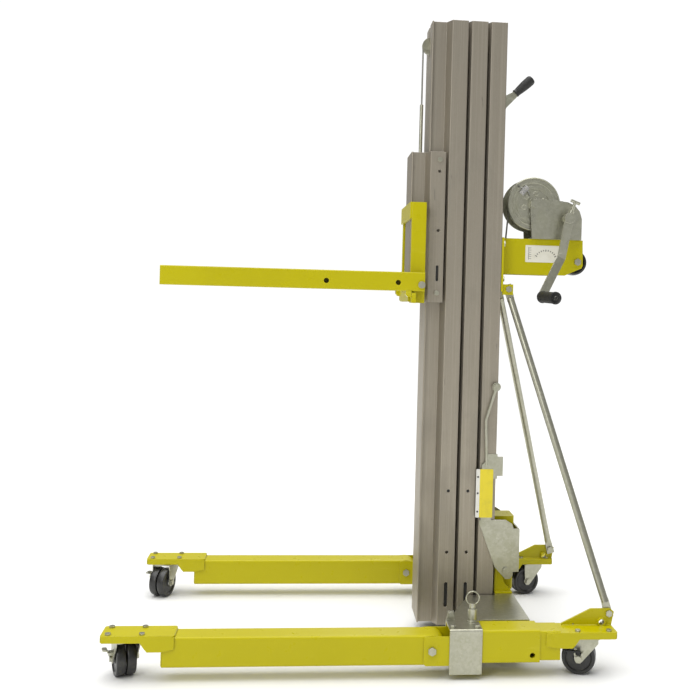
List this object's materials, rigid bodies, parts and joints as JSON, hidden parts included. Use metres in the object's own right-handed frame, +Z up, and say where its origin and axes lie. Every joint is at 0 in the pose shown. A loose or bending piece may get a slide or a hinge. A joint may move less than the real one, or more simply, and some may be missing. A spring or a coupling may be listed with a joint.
{
  "type": "drywall lift",
  "caption": "Hand-winched telescoping aluminium mast lift on a steel base with folding front legs, swivel casters and two fold-up forks on a cable-hung carriage.",
  "frame": {"origin": "on the floor under the middle of the bounding box", "axes": "+Z up; the forks point to -Y and the winch stands at +Y; +X is the operator's left hand at the winch"},
  "size_m": [0.8154, 1.3096, 1.747],
  "materials": {
    "yellow_paint": "gloss powder coat",
    "mast_aluminium": "mill finish with long vertical grain",
    "zinc_steel": "zinc plated",
    "black_tread": "smooth",
    "black_grip": "moulded vinyl",
    "wire_rope": "galvanised strand",
    "black_nylon": "moulded"
  },
  "bodies": {
    "frame": {"leg_sleeve_left": "yellow_paint", "leg_sleeve_right": "yellow_paint", "outrigger_left": "yellow_paint", "outrigger_right": "yellow_paint", "cross_member": "zinc_steel", "rear_pillar": "yellow_paint", "tie_bracket": "zinc_steel", "brace_left": "zinc_steel", "brace_right": "zinc_steel", "mast_stage_1": "mast_aluminium", "pulley_blocks_1": "zinc_steel", "cable_loop_1": "wire_rope", "cable_fall_1": "wire_rope", "winch_bracket": "yellow_paint", "winch_frame": "zinc_steel", "frame_bolts": "zinc_steel", "push_handle": "zinc_steel", "push_grip": "black_grip", "hold_down_clip": "zinc_steel", "caster_plates_rear": "zinc_steel"},
    "leg_left": {"front_leg_left": "yellow_paint", "caster_mount_front_left": "zinc_steel"},
    "leg_right": {"front_leg_right": "yellow_paint", "caster_mount_front_right": "zinc_steel"},
    "plunger_left": {"plunger_pin_left": "zinc_steel"},
    "plunger_right": {"plunger_pin_right": "zinc_steel"},
    "stage_2": {"mast_stage_2": "mast_aluminium", "pulley_blocks_2": "zinc_steel", "cable_loop_2": "wire_rope", "cable_fall_2": "wire_rope", "glide_pads_2": "black_nylon"},
    "stage_3": {"mast_stage_3": "mast_aluminium", "pulley_blocks_3": "zinc_steel", "cable_loop_3": "wire_rope", "cable_fall_3": "wire_rope", "glide_pads_3": "black_nylon"},
    "lift_carriage": {"carriage": "mast_aluminium", "carriage_fittings": "zinc_steel", "fork_frame": "yellow_paint", "glide_pads_carriage": "black_nylon"},
    "left_fork": {"fork_left": "yellow_paint"},
    "right_fork": {"fork_right": "yellow_paint"},
    "drum": {"winch_drum": "zinc_steel", "cable_on_drum": "wire_rope"},
    "winch_crank": {"crank": "zinc_steel"},
    "grip": {"crank_grip": "black_grip"},
    "loading_wheel": {"load_wheel": "black_tread"},
    "hold_down": {"hold_down_bar": "zinc_steel"},
    "swivel_front_left": {"caster_fork_front_left": "zinc_steel"},
    "wheels_front_left": {"caster_wheels_front_left": "black_tread"},
    "lever_front_left": {"brake_lever_front_left": "zinc_steel"},
    "swivel_front_right": {"caster_fork_front_right": "zinc_steel"},
    "wheels_front_right": {"caster_wheels_front_right": "black_tread"},
    "lever_front_right": {"brake_lever_front_right": "zinc_steel"},
    "swivel_rear_left": {"caster_fork_rear_left": "zinc_steel"},
    "wheels_rear_left": {"caster_wheels_rear_left": "black_tread"},
    "lever_rear_left": {"brake_lever_rear_left": "black_grip"},
    "swivel_rear_right": {"caster_fork_rear_right": "zinc_steel"},
    "wheels_rear_right": {"caster_wheels_rear_right": "black_tread"},
    "lever_rear_right": {"brake_lever_rear_right": "black_grip"}
  },
  "joints": [
    {"name": "leg_fold_left", "type": "hinge", "parent": "frame", "child": "leg_left", "pos_m": [0.3605, 0.169, 0.074], "axis": [-1, 0, 0], "range_deg": [0, 90]},
    {"name": "plunger_lift_left", "type": "slide", "parent": "frame", "child": "plunger_left", "axis": [0, 0, 1], "range_m": [0, 0.016], "stiffness_N_per_m": 1500, "springref_m": -0.01},
    {"name": "leg_fold_right", "type": "hinge", "parent": "frame", "child": "leg_right", "pos_m": [-0.3605, 0.169, 0.074], "axis": [-1, 0, 0], "range_deg": [0, 90]},
    {"name": "plunger_lift_right", "type": "slide", "parent": "frame", "child": "plunger_right", "axis": [0, 0, 1], "range_m": [0, 0.016], "stiffness_N_per_m": 1500, "springref_m": -0.01},
    {"name": "stage_2_slide", "type": "slide", "parent": "frame", "child": "stage_2", "axis": [0, 0, 1], "range_m": [0, 1.22], "deforming": ["cable_fall_1"]},
    {"name": "stage_3_slide", "type": "slide", "parent": "stage_2", "child": "stage_3", "axis": [0, 0, 1], "range_m": [0, 1.22], "deforming": ["cable_fall_2"]},
    {"name": "carriage_slide", "type": "slide", "parent": "stage_3", "child": "lift_carriage", "axis": [0, 0, 1], "range_m": [-0.85, 0.13], "deforming": ["cable_fall_3"]},
    {"name": "fork_fold_left", "type": "hinge", "parent": "lift_carriage", "child": "left_fork", "pos_m": [0.163, 0.141, 0.997], "axis": [-1, 0, 0], "range_deg": [0, 90]},
    {"name": "fork_fold_right", "type": "hinge", "parent": "lift_carriage", "child": "right_fork", "pos_m": [-0.163, 0.141, 0.997], "axis": [-1, 0, 0], "range_deg": [0, 90]},
    {"name": "drum_turn", "type": "hinge", "parent": "frame", "child": "drum", "pos_m": [0, 0.474, 1.24], "axis": [-1, 0, 0], "range_deg": [-790, 125]},
    {"name": "crank_turn", "type": "hinge", "parent": "frame", "child": "winch_crank", "pos_m": [0.112, 0.565, 1.198], "axis": [-1, 0, 0], "range_deg": [-320, 2020]},
    {"name": "grip_spin", "type": "hinge", "parent": "winch_crank", "child": "grip", "pos_m": [0.154, 0.481, 0.973], "axis": [0.9862, 0.1644, -0.0219], "continuous": true},
    {"name": "load_wheel_spin", "type": "hinge", "parent": "frame", "child": "loading_wheel", "pos_m": [0, 0.606, 1.076], "axis": [1, 0, 0], "continuous": true},
    {"name": "hold_down_swing", "type": "hinge", "parent": "frame", "child": "hold_down", "pos_m": [0.101, 0.37, 0.715], "axis": [-1, 0, 0], "range_deg": [0, 20]},
    {"name": "caster_swivel_front_left", "type": "hinge", "parent": "leg_left", "child": "swivel_front_left", "pos_m": [0.3605, -0.59, 0.1], "axis": [0, 0, 1], "continuous": true},
    {"name": "wheel_spin_front_left", "type": "hinge", "parent": "swivel_front_left", "child": "wheels_front_left", "pos_m": [0.33419, -0.59958, 0.044], "axis": [-0.342, 0.9397, 0], "continuous": true},
    {"name": "brake_press_front_left", "type": "hinge", "parent": "swivel_front_left", "child": "lever_front_left", "pos_m": [0.34667, -0.63387, 0.058], "axis": [0.9397, 0.342, 0], "range_deg": [0, 30]},
    {"name": "caster_swivel_front_right", "type": "hinge", "parent": "leg_right", "child": "swivel_front_right", "pos_m": [-0.3605, -0.59, 0.1], "axis": [0, 0, 1], "continuous": true},
    {"name": "wheel_spin_front_right", "type": "hinge", "parent": "swivel_front_right", "child": "wheels_front_right", "pos_m": [-0.33419, -0.59958, 0.044], "axis": [-0.342, -0.9397, 0], "continuous": true},
    {"name": "brake_press_front_right", "type": "hinge", "parent": "swivel_front_right", "child": "lever_front_right", "pos_m": [-0.34667, -0.63387, 0.058], "axis": [0.9397, -0.342, 0], "range_deg": [0, 30]},
    {"name": "caster_swivel_rear_left", "type": "hinge", "parent": "frame", "child": "swivel_rear_left", "pos_m": [0.3605, 0.587, 0.1], "axis": [0, 0, 1], "continuous": true},
    {"name": "wheel_spin_rear_left", "type": "hinge", "parent": "swivel_rear_left", "child": "wheels_rear_left", "pos_m": [0.35231, 0.56022, 0.044], "axis": [-0.9563, 0.2924, 0], "continuous": true},
    {"name": "brake_press_rear_left", "type": "hinge", "parent": "swivel_rear_left", "child": "lever_rear_left", "pos_m": [0.38722, 0.54955, 0.058], "axis": [0.2924, 0.9563, 0], "range_deg": [0, 30]},
    {"name": "caster_swivel_rear_right", "type": "hinge", "parent": "frame", "child": "swivel_rear_right", "pos_m": [-0.3605, 0.587, 0.1], "axis": [0, 0, 1], "continuous": true},
    {"name": "wheel_spin_rear_right", "type": "hinge", "parent": "swivel_rear_right", "child": "wheels_rear_right", "pos_m": [-0.35231, 0.56022, 0.044], "axis": [-0.9563, -0.2924, 0], "continuous": true},
    {"name": "brake_press_rear_right", "type": "hinge", "parent": "swivel_rear_right", "child": "lever_rear_right", "pos_m": [-0.38722, 0.54955, 0.058], "axis": [0.2924, -0.9563, 0], "range_deg": [0, 30]}
  ],
  "couplings": [
    {"joint": "drum_turn", "follows": "carriage_slide", "rad_per_m": 16.077},
    {"joint": "crank_turn", "follows": "carriage_slide", "rad_per_m": -41.086}
  ]
}
